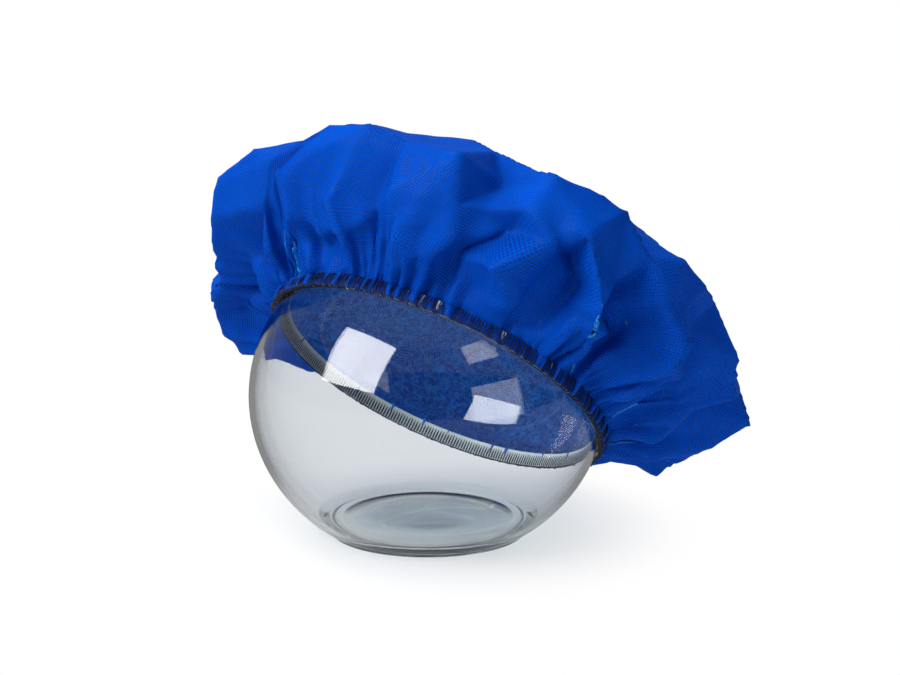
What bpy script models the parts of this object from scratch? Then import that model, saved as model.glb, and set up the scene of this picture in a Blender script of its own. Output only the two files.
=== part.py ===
"""Disposable bouffant hairnet, stretched by its elastic over a round glass bowl that stands on its flat base.

The crown is one round cloth of nonwoven whose edge is gathered into an elastic band. The band lies
slantwise round the bowl, low at the back right, and the gathered cloth puffs out above it.
Units are metres, +Z is up, -Y is the side that faces the viewer, and the origin is the middle of the bowl's base.
"""

import math
from collections import namedtuple

import bmesh
import bpy
from mathutils import Matrix, Vector

# Glass bowl
BOWL_WIDTH = 0.190
BOWL_HEIGHT = 0.150
BOWL_BELLY_HEIGHT = 0.074
BOWL_BASE_WIDTH = 0.102
BOWL_MOUTH_WIDTH = 0.098
GLASS_WALL = 0.003
GLASS_FLOOR = 0.009
BOWL_SIDES = 48

# Where the cap sits on the bowl: its axis leans right and back, and its band lies above the bowl's middle
CAP_ROLL = math.radians(28.3)
CAP_TIP = math.radians(31.0)
BAND_RISE = 0.0127

# Elastic band
ELASTIC_WIDTH = 0.008
ELASTIC_THICKNESS = 0.001
SEAT_GAP = 0.0003

# Crown cloth. PUFF_OUT is how far it stands out past the band, RIM_RISE how far its rim lies above the band
CLOTH_WALL = 0.0012
PUFF_OUT = 0.060
RIM_RISE = 0.055
ROOM_OVER_BOWL = 0.018
GATHER_DEPTH = 0.0022
SIDES_PER_FOLD = 3

# One row for each ridge or valley of the puffed cloth, anticlockwise seen from under the cap.
# hem, belly and rim are the angles where the fold leaves the band, crosses the underside and turns over the
# rim, in degrees from the front. out is a share of PUFF_OUT past the band, and up a share of RIM_RISE.
Fold = namedtuple("Fold", "hem belly rim belly_out belly_up rim_out rim_up")
FOLDS = (
    Fold(-176, -176, -176, 0.65, 0.28, 1.00, 0.46),
    Fold(-165, -166, -167, 0.40, 0.30, 0.80, 0.54),
    Fold(-154, -153, -152, 0.70, 0.16, 1.00, 0.36),
    Fold(-143, -142, -142, 0.45, 0.06, 0.82, 0.28),
    Fold(-132, -131, -130, 0.75, -0.20, 1.03, 0.08),
    Fold(-123, -123, -124, 0.45, 0.02, 0.86, 0.20),
    Fold(-115, -116, -117, 0.68, 0.06, 0.95, 0.36),
    Fold(-104, -104, -105, 0.28, 0.08, 0.52, 0.34),
    Fold(-95, -92, -88, 0.60, 0.14, 0.95, 0.44),
    Fold(-88, -85, -80, 0.42, 0.26, 0.86, 0.50),
    Fold(-82, -77, -72, 0.66, 0.34, 1.00, 0.60),
    Fold(-77, -70, -63, 0.38, 0.50, 0.97, 0.72),
    Fold(-69, -61, -52, 0.76, 0.50, 1.02, 0.88),
    Fold(-58, -53, -46, 0.36, 0.60, 0.98, 0.91),
    Fold(-48, -46, -41, 0.70, 0.55, 0.97, 0.93),
    Fold(-40, -38, -33, 0.48, 0.58, 0.95, 0.92),
    Fold(-31, -26, -21, 0.74, 0.54, 0.97, 0.90),
    Fold(-17, -15, -12, 0.50, 0.60, 0.60, 0.92),
    Fold(-6, -7, -5, 0.70, 0.55, 0.92, 0.96),
    Fold(3, -1, -2, 0.76, 0.50, 0.98, 1.03),
    Fold(10, 5, 2, 0.34, 0.62, 0.94, 1.04),
    Fold(18, 13, 7, 0.62, 0.55, 1.00, 1.04),
    Fold(25, 21, 13, 0.86, 0.48, 1.03, 1.03),
    Fold(31, 27, 20, 0.30, 0.56, 0.94, 1.03),
    Fold(38, 34, 29, 0.56, 0.52, 1.00, 1.00),
    Fold(45, 43, 37, 0.76, 0.48, 0.97, 0.97),
    Fold(52, 52, 46, 0.70, 0.44, 0.93, 0.95),
    Fold(59, 59, 54, 0.38, 0.48, 1.00, 0.92),
    Fold(68, 66, 62, 0.62, 0.42, 1.02, 0.90),
    Fold(78, 74, 70, 0.46, 0.40, 1.00, 0.88),
    Fold(85, 82, 78, 0.72, 0.32, 1.08, 0.84),
    Fold(93, 91, 89, 0.44, 0.36, 0.98, 0.74),
    Fold(103, 103, 102, 0.66, 0.30, 0.96, 0.68),
    Fold(115, 115, 115, 0.36, 0.36, 0.82, 0.72),
    Fold(128, 129, 130, 0.65, 0.34, 1.00, 0.70),
    Fold(142, 142, 143, 0.40, 0.36, 0.80, 0.68),
    Fold(155, 156, 157, 0.65, 0.30, 1.00, 0.58),
    Fold(169, 170, 171, 0.40, 0.30, 0.78, 0.54),
)

# Rings of the crown, as steps along its meridian: 0 and 1 are the band's edges, 2 is the belly, 3 the rim,
# 4 the shoulder, 5 the top and 6 the crown's middle. The top sags towards SAG_SIDE, where the rim hangs lowest
RING_STEPS = (0, 0.5, 1, 1.33, 1.66, 2, 2.33, 2.66, 2.85, 3, 3.2, 3.5, 3.8, 4.15, 4.55, 5, 5.5)
SHOULDER_IN = 0.80
SHOULDER_UP = 0.54
TOP_IN = 0.48
TOP_SAG = 0.12
SAG_SIDE = math.radians(-150)
FOLDS_LEFT_AT_SHOULDER = 0.35
GATHERS_END = 3
TENSION = 0.62
CREASE_SOFTNESS = 0.4


def clear_scene():
    for obj in list(bpy.data.objects):
        bpy.data.objects.remove(obj)


def new_collection(name):
    made = bpy.data.collections.new(name)
    bpy.context.scene.collection.children.link(made)
    return made


def material(name, colour, roughness, transmission=0.0):
    made = bpy.data.materials.new(name)
    made.use_nodes = True
    shader = made.node_tree.nodes["Principled BSDF"]
    shader.inputs["Base Color"].default_value = (*colour, 1.0)
    shader.inputs["Roughness"].default_value = roughness
    shader.inputs["Metallic"].default_value = 0.0
    shader.inputs["Transmission Weight"].default_value = transmission
    return made


def add_object(name, mesh, collection, look):
    obj = bpy.data.objects.new(name, mesh)
    obj.data.materials.append(look)
    collection.objects.link(obj)
    return obj


# The bowl's outline

def half_rise(end_height, end_width):
    """Upright half axis of the ellipse that is BOWL_WIDTH at the belly and end_width at end_height."""
    return abs(end_height - BOWL_BELLY_HEIGHT) / math.sqrt(1 - (end_width / BOWL_WIDTH) ** 2)


LOWER_RISE = half_rise(0.0, BOWL_BASE_WIDTH)
UPPER_RISE = half_rise(BOWL_HEIGHT, BOWL_MOUTH_WIDTH)


def bowl_radius(height, grow=0.0):
    """Radius of the glass at a height, with its wall moved outwards by grow."""
    rise = height - BOWL_BELLY_HEIGHT
    half = (UPPER_RISE if rise > 0 else LOWER_RISE) + grow
    return (BOWL_WIDTH / 2 + grow) * math.sqrt(max(0.0, 1 - (rise / half) ** 2))


def bowl_profile():
    """Half section of the glass, from the inner floor's middle up the inside, over the lip and down the outside."""
    lip = GLASS_WALL / 2
    lip_height = BOWL_HEIGHT - lip
    inside_steps, outside_steps, lip_steps = 9, 11, 3
    points = [(0.0, GLASS_FLOOR)]
    for i in range(inside_steps + 1):
        z = GLASS_FLOOR + (lip_height - GLASS_FLOOR) * (1 - math.cos(math.pi * i / inside_steps)) / 2
        points.append((bowl_radius(z, -GLASS_WALL), z))
    inner, outer = points[-1][0], bowl_radius(lip_height)
    for i in range(1, lip_steps):
        turn = math.pi * i / lip_steps
        middle, half = (inner + outer) / 2, (outer - inner) / 2
        points.append((middle - half * math.cos(turn), lip_height + lip * math.sin(turn)))
    for i in range(outside_steps + 1):
        z = lip_height * (1 + math.cos(math.pi * i / outside_steps)) / 2
        points.append((bowl_radius(z), z))
    points.append((0.0, 0.0))
    return points


def make_bowl(collection, look):
    mesh = bpy.data.meshes.new("glass_bowl")
    points = [(x, 0.0, z) for x, z in bowl_profile()]
    mesh.from_pydata(points, [(i, i + 1) for i in range(len(points) - 1)], [])
    bowl = add_object("glass_bowl", mesh, collection, look)
    turn = bowl.modifiers.new("turn", "SCREW")
    turn.axis = "Z"
    turn.steps = BOWL_SIDES
    turn.render_steps = BOWL_SIDES
    turn.use_merge_vertices = True
    turn.merge_threshold = 0.00001
    turn.use_smooth_shade = True
    return bowl


# The cap's own frame: a point is an angle round its axis, a reach out from it and a rise along it

CAP_TURN = (Matrix.Rotation(CAP_ROLL, 3, "Y") @ Matrix.Rotation(-CAP_TIP, 3, "X"))
CAP_UP = CAP_TURN @ Vector((0, 0, 1))
CAP_MIDDLE = Vector((0, 0, BOWL_BELLY_HEIGHT)) + BAND_RISE * CAP_UP


def cap_point(angle, reach, rise):
    turned = Vector((reach * math.sin(angle), -reach * math.cos(angle), rise))
    return CAP_MIDDLE + CAP_TURN @ turned


def seat_reach(angle, rise, clearance):
    """Reach from the cap's axis to the bowl's outside, grown by a clearance."""
    near, far = 0.0, BOWL_WIDTH
    for _ in range(30):
        reach = (near + far) / 2
        point = cap_point(angle, reach, rise)
        if math.hypot(point.x, point.y) < bowl_radius(point.z, clearance):
            near = reach
        else:
            far = reach
    return near


def bowl_lip_rise():
    """How high the bowl's lip comes along the cap's axis, above the band."""
    lean = math.hypot(CAP_UP.x, CAP_UP.y)
    lip = Vector((CAP_UP.x, CAP_UP.y, 0)) * (BOWL_MOUTH_WIDTH / 2 / lean) + Vector((0, 0, BOWL_HEIGHT))
    return (lip - CAP_MIDDLE).dot(CAP_UP)


CROWN_RISE = bowl_lip_rise() + ROOM_OVER_BOWL
HEM_CLEARANCE = 2 * SEAT_GAP + ELASTIC_THICKNESS + GATHER_DEPTH / 2


def fold_stations(fold):
    """Angle, reach and rise of a fold's line where it crosses each station, from the hem to the middle."""
    hem, belly, rim = (math.radians(a) for a in (fold.hem, fold.belly, fold.rim))
    band_low = seat_reach(hem, -ELASTIC_WIDTH / 2, HEM_CLEARANCE)
    band_high = seat_reach(hem, ELASTIC_WIDTH / 2, HEM_CLEARANCE)
    rim_reach = band_high + fold.rim_out * PUFF_OUT
    rim_rise = fold.rim_up * RIM_RISE
    shoulder_out = 1 + FOLDS_LEFT_AT_SHOULDER * (fold.rim_out - 1)
    top_rise = CROWN_RISE * (1 - TOP_SAG * (1 + math.cos(rim - SAG_SIDE)) / 2)
    return (
        (hem, band_low, -ELASTIC_WIDTH / 2),
        (hem, band_high, ELASTIC_WIDTH / 2),
        (belly, band_high + fold.belly_out * PUFF_OUT, fold.belly_up * RIM_RISE),
        (rim, rim_reach, rim_rise),
        (rim, SHOULDER_IN * (band_high + shoulder_out * PUFF_OUT), rim_rise + SHOULDER_UP * (top_rise - rim_rise)),
        (rim, TOP_IN * (band_high + PUFF_OUT), top_rise),
        (rim, 0.0, CROWN_RISE),
    )


def along_meridian(stations, step):
    """Point at a step along a fold's line: a soft curve through its stations."""
    i = min(int(step), len(stations) - 2)
    t = step - i
    before = stations[max(i - 1, 0)]
    start, end = stations[i], stations[i + 1]
    after = stations[min(i + 2, len(stations) - 1)]
    found = []
    for a, b, c, d in zip(before, start, end, after):
        leave, arrive = TENSION * (c - a) / 2, TENSION * (d - b) / 2
        h00, h10 = 2 * t**3 - 3 * t**2 + 1, t**3 - 2 * t**2 + t
        h01, h11 = -2 * t**3 + 3 * t**2, t**3 - t**2
        found.append(h00 * b + h10 * leave + h01 * c + h11 * arrive)
    return found


def crown_ring(step):
    """Points of the cloth round one ring, with the fine gathers that fade out from the band to the rim."""
    lines = [along_meridian(fold_stations(fold), step) for fold in FOLDS]
    gather = GATHER_DEPTH / 2 * min(1.0, max(0.0, (GATHERS_END - step) / (GATHERS_END - 1)))
    points = []
    for i, start in enumerate(lines):
        end = list(lines[(i + 1) % len(lines)])
        if end[0] < start[0]:
            end[0] += 2 * math.pi
        for k in range(SIDES_PER_FOLD):
            u = k / SIDES_PER_FOLD
            soft = u + CREASE_SOFTNESS * (u * u * (3 - 2 * u) - u)
            angle = start[0] + (end[0] - start[0]) * u
            reach = start[1] + (end[1] - start[1]) * soft
            rise = start[2] + (end[2] - start[2]) * soft
            if step <= 1:
                reach = seat_reach(angle, rise, HEM_CLEARANCE)
            outwards = (i * SIDES_PER_FOLD + k) % 2
            points.append(cap_point(angle, reach + (gather if outwards else -gather), rise))
    return points


def make_crown(collection, look):
    """Lofts the cloth ring by ring, closes it in the middle and gives it its thickness outwards."""
    grid = bmesh.new()
    rings = [[grid.verts.new(p) for p in crown_ring(step)] for step in RING_STEPS]
    for lower, upper in zip(rings, rings[1:]):
        for i in range(len(lower)):
            j = (i + 1) % len(lower)
            grid.faces.new((lower[i], lower[j], upper[j], upper[i]))
    middle = grid.verts.new(cap_point(0.0, 0.0, CROWN_RISE))
    last = rings[-1]
    for i in range(len(last)):
        grid.faces.new((last[i], last[(i + 1) % len(last)], middle))
    mesh = bpy.data.meshes.new("bouffant_crown")
    grid.to_mesh(mesh)
    grid.free()
    crown = add_object("bouffant_crown", mesh, collection, look)
    thickness = crown.modifiers.new("thickness", "SOLIDIFY")
    thickness.thickness = CLOTH_WALL
    thickness.offset = 1.0
    return crown


def make_elastic(collection, look):
    """Flat elastic that hugs the glass, a gap clear of it."""
    sides = 96
    grid = bmesh.new()
    rings = []
    corners = ((-1, 0), (1, 0), (1, 1), (-1, 1))
    for i in range(sides):
        angle = 2 * math.pi * i / sides
        ring = []
        for across, out in corners:
            rise = across * ELASTIC_WIDTH / 2
            reach = seat_reach(angle, rise, SEAT_GAP) + out * ELASTIC_THICKNESS
            ring.append(grid.verts.new(cap_point(angle, reach, rise)))
        rings.append(ring)
    for i, ring in enumerate(rings):
        following = rings[(i + 1) % sides]
        for k in range(4):
            n = (k + 1) % 4
            grid.faces.new((ring[k], ring[n], following[n], following[k]))
    bmesh.ops.recalc_face_normals(grid, faces=grid.faces)
    mesh = bpy.data.meshes.new("elastic_band")
    grid.to_mesh(mesh)
    grid.free()
    return add_object("elastic_band", mesh, collection, look)


def main():
    clear_scene()
    parts = new_collection("hairnet_on_bowl")
    make_bowl(parts, material("clear_glass", (0.92, 0.96, 0.95), 0.02, 1.0))
    make_elastic(parts, material("black_and_white_elastic", (0.08, 0.08, 0.10), 0.7))
    make_crown(parts, material("blue_nonwoven", (0.005, 0.07, 0.52), 0.75))


main()
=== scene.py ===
"""Blue bouffant hairnet of embossed nonwoven, on an overlocked elastic, stretched over a glass bowl."""

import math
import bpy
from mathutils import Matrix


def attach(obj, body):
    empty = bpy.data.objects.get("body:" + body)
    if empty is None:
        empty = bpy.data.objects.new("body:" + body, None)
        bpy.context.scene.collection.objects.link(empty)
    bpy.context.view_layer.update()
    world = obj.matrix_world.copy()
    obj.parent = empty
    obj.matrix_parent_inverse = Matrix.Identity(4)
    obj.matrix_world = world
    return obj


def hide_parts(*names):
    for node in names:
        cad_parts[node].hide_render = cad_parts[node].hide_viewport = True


bl_info = {
    "name": "Bouffant hairnet on a glass bowl",
    "version": (1, 0, 0),
    "blender": (4, 5, 0),
    "location": "View3D > Sidebar > Hairnet",
    "description": "Makes a gathered nonwoven cap, its overlocked elastic hem and a round glass bowl",
    "category": "Object",
}

from collections import namedtuple

import bmesh
import bpy
import numpy as np
from bpy.props import FloatProperty, IntProperty, PointerProperty, StringProperty
from mathutils import Matrix, Vector
from mathutils.geometry import delaunay_2d_cdt

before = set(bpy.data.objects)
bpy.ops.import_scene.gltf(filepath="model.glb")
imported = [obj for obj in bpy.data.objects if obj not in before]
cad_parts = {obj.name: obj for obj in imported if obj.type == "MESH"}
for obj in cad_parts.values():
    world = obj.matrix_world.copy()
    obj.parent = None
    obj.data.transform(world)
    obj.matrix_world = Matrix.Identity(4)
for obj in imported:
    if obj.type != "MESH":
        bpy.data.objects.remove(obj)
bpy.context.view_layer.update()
MM = 0.001

# One row for each ridge or valley of the puffed cloth, anticlockwise seen from under the cap. hem, belly
# and rim are the angles where the fold leaves the band, crosses the underside and turns over the rim, in
# degrees from the front. out is a share of the puff past the band, and up a share of the rim's rise.
Fold = namedtuple("Fold", "hem belly rim belly_out belly_up rim_out rim_up")
FOLDS = (
    Fold(-176, -176, -176, 0.65, 0.28, 1.00, 0.46),
    Fold(-165, -166, -167, 0.40, 0.30, 0.80, 0.54),
    Fold(-154, -153, -152, 0.70, 0.16, 1.00, 0.36),
    Fold(-143, -142, -142, 0.45, 0.06, 0.82, 0.28),
    Fold(-132, -131, -130, 0.75, -0.20, 1.03, 0.08),
    Fold(-123, -123, -124, 0.50, 0.00, 0.99, 0.20),
    Fold(-114, -114, -112, 0.66, 0.06, 1.02, 0.34),
    Fold(-103, -102, -100, 0.28, 0.08, 0.30, 0.36),
    Fold(-95, -92, -88, 0.60, 0.14, 1.02, 0.43),
    Fold(-88, -85, -80, 0.36, 0.26, 1.03, 0.50),
    Fold(-82, -77, -72, 0.66, 0.34, 1.06, 0.53),
    Fold(-77, -70, -63, 0.34, 0.50, 0.97, 0.63),
    Fold(-69, -61, -52, 0.78, 0.50, 0.98, 0.82),
    Fold(-58, -53, -46, 0.26, 0.60, 0.95, 0.91),
    Fold(-48, -46, -41, 0.70, 0.55, 0.97, 0.93),
    Fold(-40, -38, -33, 0.48, 0.58, 0.95, 0.92),
    Fold(-31, -26, -21, 0.74, 0.54, 0.97, 0.90),
    Fold(-17, -15, -12, 0.50, 0.60, 0.60, 0.92),
    Fold(-6, -7, -5, 0.70, 0.55, 0.92, 0.96),
    Fold(3, -1, -2, 0.76, 0.50, 0.98, 1.03),
    Fold(10, 5, 2, 0.28, 0.62, 0.91, 1.04),
    Fold(18, 13, 7, 0.62, 0.55, 1.00, 1.04),
    Fold(25, 21, 13, 0.90, 0.48, 1.03, 1.03),
    Fold(31, 27, 20, 0.26, 0.58, 0.86, 1.03),
    Fold(38, 34, 29, 0.56, 0.52, 1.00, 1.00),
    Fold(45, 43, 37, 0.76, 0.48, 0.97, 0.97),
    Fold(52, 52, 46, 0.70, 0.44, 0.93, 0.95),
    Fold(59, 59, 54, 0.28, 0.50, 0.93, 0.93),
    Fold(68, 66, 62, 0.62, 0.42, 1.01, 0.90),
    Fold(78, 74, 70, 0.46, 0.40, 1.00, 0.88),
    Fold(85, 82, 78, 0.72, 0.32, 1.05, 0.84),
    Fold(93, 91, 89, 0.44, 0.36, 1.00, 0.74),
    Fold(103, 103, 102, 0.66, 0.30, 1.00, 0.68),
    Fold(115, 115, 115, 0.36, 0.36, 0.82, 0.72),
    Fold(128, 129, 130, 0.65, 0.34, 1.00, 0.70),
    Fold(142, 142, 143, 0.40, 0.36, 0.80, 0.68),
    Fold(155, 156, 157, 0.65, 0.30, 1.00, 0.58),
    Fold(169, 170, 171, 0.40, 0.30, 0.78, 0.54),
)
# A fold whose belly_out is more than this is a ridge, and the others are valleys
RIDGE_OUT = 0.5
# From the rim a fold goes on to a shoulder and to the edge of the top. IN is a share of the reach from the
# cap's axis, and UP a share of the rise from the rim to the top. The top sags by a share of its height on
# one side
SHOULDER_IN = 0.80
SHOULDER_UP = 0.54
TOP_IN = 0.48
TOP_SAG = 0.12
SAG_SIDE = math.radians(-150)
FOLDS_LEFT_AT_SHOULDER = 0.35
# 1 rounds the fold lines fully at their stations, and 0 leaves them straight in between
ROUNDNESS = 0.62

# Gathers: waves round the hem, each as deep as amplitude at a distance peak from the hem's edge, gone past
# end. start is the share of that depth at the edge. The narrow ones merge into wider and deeper ones
# outwards, as the cloth has more room there
Gather = namedtuple("Gather", "waves amplitude start peak end sway seed")
FINE_GATHERS = (
    Gather(196, 0.9 * MM, 1.0, 7 * MM, 19 * MM, 0.4, 3),
    Gather(104, 2.7 * MM, 0.25, 15 * MM, 42 * MM, 0.8, 5),
    Gather(59, 3.6 * MM, 0.1, 26 * MM, 70 * MM, 1.0, 8),
)
BROAD_GATHERS = (
    Gather(31, 3.6 * MM, 0.0, 36 * MM, 84 * MM, 1.6, 11),
)

# Corners of the crumpled facets: rings of them at a distance from the hem's edge, with their count round
# the cap, or 0 for one on each fold, how far each strays along the cloth, and how far it is lifted or sunk
# at most
Crumple = namedtuple("Crumple", "distance count stray height")
CRUMPLES = (
    Crumple(-6 * MM, 60, 0.0, 0.0),
    Crumple(14 * MM, 54, 6 * MM, 0.0),
    Crumple(36 * MM, 36, 12 * MM, 10.0 * MM),
    Crumple(62 * MM, 0, 12 * MM, 10.0 * MM),
    Crumple(98 * MM, 0, 10 * MM, 4.5 * MM),
    Crumple(134 * MM, 22, 16 * MM, 5.0 * MM),
    Crumple(172 * MM, 15, 20 * MM, 6.0 * MM),
    Crumple(216 * MM, 9, 20 * MM, 5.0 * MM),
    Crumple(275 * MM, 8, 0.0, 0.0),
)
CRUMPLE_SEED = 31
# How far a corner strays round the cap, as a share of a corner's place, and the least share of the height
STRAY_ROUND = 0.4
LEAST_HEIGHT = 0.5
# How far the cloth is drawn to the flat facets, and how much its creases are sharpened after that. Both
# grow over the first two distances from the hem's edge and fade over the last two
FACETED = 0.8
FACET_ZONE = (10 * MM, 44 * MM, 155 * MM, 235 * MM)
CREASING = 0.65
CREASE_ZONE = (14 * MM, 34 * MM, 140 * MM, 200 * MM)
# How far each corner stands out besides its own height, which grows over these distances from the hem's
# edge
PROUD = 2.0 * MM
PROUD_ZONE = (25 * MM, 55 * MM)
# Degrees from the front past which the cap's back begins, the share of their depth that sunk corners keep
# there, and what the height of a fold's corner is multiplied by
BACK = 115
BACK_SUNK = 0.4
BACK_FOLD = -0.35

# The corners that the photograph shows on the side towards the eye: degrees from the front, millimetres
# from the hem's edge and millimetres out of the cloth, which RELIEF multiplies. They replace the strayed
# ones in the zone that these angles and distances bound
Corner = namedtuple("Corner", "angle distance height")
RELIEF = 1.5
FRONT_ANGLES = (-140, 104)
FRONT_ZONE = (18 * MM, 90 * MM)
FRONT_CORNERS = (
    # Lower left lobe and the top left lobe with its deep valley
    Corner(-136, 60, 2), Corner(-132, 34, -3), Corner(-125, 64, 2), Corner(-121, 46, -5),
    Corner(-112, 30, -3), Corner(-107, 54, 4), Corner(-98, 42, -6),
    Corner(-90, 58, 3), Corner(-83, 72, 3), Corner(-85, 40, -6), Corner(-77, 32, -10), Corner(-70, 34, 7),
    Corner(-70, 19, 5), Corner(-68, 56, 0), Corner(-62, 44, 3), Corner(-59, 27, 4), Corner(-55, 60, 1),
    # The hollow facet under the top left corner, and the bright ridge on its right
    Corner(-51, 39, 2), Corner(-49, 26, -10), Corner(-44, 17, -7), Corner(-41, 46, 4), Corner(-40, 32, 8),
    Corner(-39, 20, 5), Corner(-33, 27, -4), Corner(-32, 50, 1), Corner(-30, 19, -5), Corner(-26, 58, 3),
    Corner(-22, 38, 1),
    # The big ridge in the middle and the pocket at its foot
    Corner(-17, 67, 4), Corner(-15, 49, 9), Corner(-19, 26, 8), Corner(-14, 19, -4), Corner(-9, 21, -8),
    Corner(-11, 37, 0), Corner(-6, 57, -9), Corner(-4, 72, -4), Corner(-1, 63, 7), Corner(-4, 42, 6),
    Corner(-1, 27, 5), Corner(0, 40, 5),
    # The deep pocket and the lobe beside it
    Corner(4, 61, -7), Corner(5, 50, -11), Corner(5, 38, -10), Corner(4, 22, -5), Corner(7, 76, 5),
    Corner(10, 61, 9), Corner(11, 51, 10), Corner(12, 40, 9), Corner(14, 24, 4), Corner(15, 66, -9),
    Corner(19, 56, -9), Corner(22, 44, -7), Corner(20, 28, -5), Corner(22, 85, 3),
    # The inner lobe on the right and the hollow that curves round it
    Corner(28, 74, 6), Corner(33, 80, -5), Corner(34, 66, 8), Corner(35, 54, 8), Corner(34, 38, 5),
    Corner(33, 20, 3), Corner(39, 73, -10), Corner(40, 60, -8), Corner(44, 50, -7), Corner(45, 34, -8),
    Corner(40, 26, 3), Corner(52, 86, 3), Corner(54, 22, -3), Corner(59, 56, 4), Corner(61, 76, 3),
    Corner(68, 62, -5), Corner(66, 36, 4), Corner(75, 82, 2), Corner(76, 30, -4), Corner(81, 52, 4),
    Corner(88, 70, 1), Corner(90, 34, -4), Corner(97, 54, 2),
)

# The settling of the cloth on a coarse grid, where it buckles into creases of its own. It is given spare
# length, as shares of its size, which goes down over the zone's distances from the hem's edge. The hem is
# held fast, and the rest by a share
COARSE_COLUMNS = 300
COARSE_RINGS = 62
SETTLE_FRAMES = 30
SETTLE_QUALITY = 5
SPARE_AT_HEM = 0.16
SPARE_ON_TOP = 0.045
SPARE_ZONE = (45 * MM, 105 * MM)
HELD_HEM = 10 * MM
HOLD = 0.33
MOST_SETTLED = 16 * MM

# The rings of the cloth: 1 would space them evenly, and 0 would crowd them most at the hem. The last one lies
# at this share of the way to the middle, round a pinhole that a face closes
EVENNESS = 0.36
LAST_RING = 0.995

# Space between the elastic and the middle of the gathered cloth
CLOTH_OFF_ELASTIC = 1.3 * MM
# Distances from the hem's edge within which the cloth's steps round the cap are halved, one after the other
HALVED_WITHIN = (52 * MM, 13 * MM)

# How unevenly the stitches lie: along the hem as a share of their pitch, off the elastic, and across it
UNEVENNESS = np.array((0.10, 0.15 * MM, 0.12 * MM))
STITCH_SEED = 21

# The picture: its width, and how far its middle lies to the right of the bowl's belly and above it, in its
# elements
PICTURE_WIDTH = 900
PICTURE_RIGHT = 22
PICTURE_UP = 57.5


def measure(name, description, default):
    """A length in metres that the sidebar lists."""
    return FloatProperty(name=name, description=description, default=default, unit="LENGTH")


class HairnetCloth(bpy.types.PropertyGroup):
    flat_width: measure("Flat width", "Diameter of the round cloth before it is gathered", 0.533)
    thickness: measure("Thickness", "Thickness of the nonwoven", 0.35 * MM)
    puff_out: measure("Puff", "How far the cloth stands out past the band", 0.060)
    rim_rise: measure("Rim rise", "Height of the puffed rim above the band", 0.055)
    room_over_bowl: measure("Room over bowl", "Space between the bowl's lip and the crown", 0.018)
    columns: IntProperty(name="Columns", default=354,
                         description="Steps of the cloth round its middle, four times more at the hem")
    rings: IntProperty(name="Rings", default=78, description="Steps of the cloth from the hem to its middle")
    emboss_pitch: measure("Emboss pitch", "Distance between the pressed bond points", 1.5 * MM)


class HairnetHem(bpy.types.PropertyGroup):
    elastic_width: measure("Elastic width", "Width of the flat elastic", 8 * MM)
    elastic_thickness: measure("Elastic thickness", "Thickness of the flat elastic", 0.8 * MM)
    seat_gap: measure("Seat gap", "Clearance between the glass and the elastic", 0.45 * MM)
    stitches: IntProperty(name="Stitches", description="Overlock stitches round the hem", default=354)
    thread: measure("Thread", "Diameter of the overlock thread", 0.46 * MM)
    elastic_colour: StringProperty(name="Elastic colour", default="#FAFAF8",
                                   description="sRGB colour of the elastic")
    thread_colour: StringProperty(name="Thread colour", default="#040508",
                                  description="sRGB colour of the thread")


class GlassStand(bpy.types.PropertyGroup):
    width: measure("Width", "Width of the bowl at its belly", 0.190)
    height: measure("Height", "Height of the bowl", 0.150)
    belly_height: measure("Belly height", "Height of the widest ring", 0.074)
    base_width: measure("Base width", "Width of the flat base", 0.102)
    mouth_width: measure("Mouth width", "Width of the mouth", 0.098)
    wall: measure("Wall", "Thickness of the glass wall", 3 * MM)
    floor: measure("Floor", "Thickness of the glass floor", 9 * MM)
    tint: StringProperty(name="Tint", default="#F1F4F6", description="sRGB colour of light through the glass")


class StudioStage(bpy.types.PropertyGroup):
    elevation: FloatProperty(name="Camera elevation", description="Angle of the camera above the table",
                             default=math.radians(12), subtype="ANGLE")
    distance: measure("Camera distance", "Distance from the camera to the cap", 1.33)
    pixel: measure("Pixel", "Real width of one picture element at the bowl", 0.531 * MM)
    floor_colour: StringProperty(name="Floor colour", default="#E0E0E2",
                                 description="sRGB colour of the table")


# Colours and materials

def linear(hex_colour):
    """Linear RGBA of an sRGB hex colour."""
    parts = [int(hex_colour[i:i + 2], 16) / 255 for i in (1, 3, 5)]
    return (*[c / 12.92 if c <= 0.04045 else ((c + 0.055) / 1.055) ** 2.4 for c in parts], 1.0)


def add(tree, kind, settings=None, inputs=None):
    """Adds a node, sets its properties, and links or sets its inputs by name or number."""
    made = tree.nodes.new(kind)
    for name, value in (settings or {}).items():
        setattr(made, name, value)
    for name, value in (inputs or {}).items():
        if isinstance(value, bpy.types.NodeSocket):
            tree.links.new(value, made.inputs[name])
        else:
            made.inputs[name].default_value = value
    return made


def new_material(name):
    """An empty node material and its output node."""
    made = bpy.data.materials.new(name)
    made.use_nodes = True
    made.node_tree.nodes.clear()
    return made, made.node_tree, made.node_tree.nodes.new("ShaderNodeOutputMaterial")


def waves_along(tree, vector, per_unit):
    """Sine waves along a vector's X and Y, each with its own number of radians in a unit."""
    axes = add(tree, "ShaderNodeSeparateXYZ", inputs={"Vector": vector})
    waves = []
    for axis, radians in zip("XY", per_unit):
        turn = add(tree, "ShaderNodeMath", {"operation": "MULTIPLY"}, {0: axes.outputs[axis], 1: radians})
        waves.append(add(tree, "ShaderNodeMath", {"operation": "SINE"}, {0: turn.outputs[0]}).outputs[0])
    return waves


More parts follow.
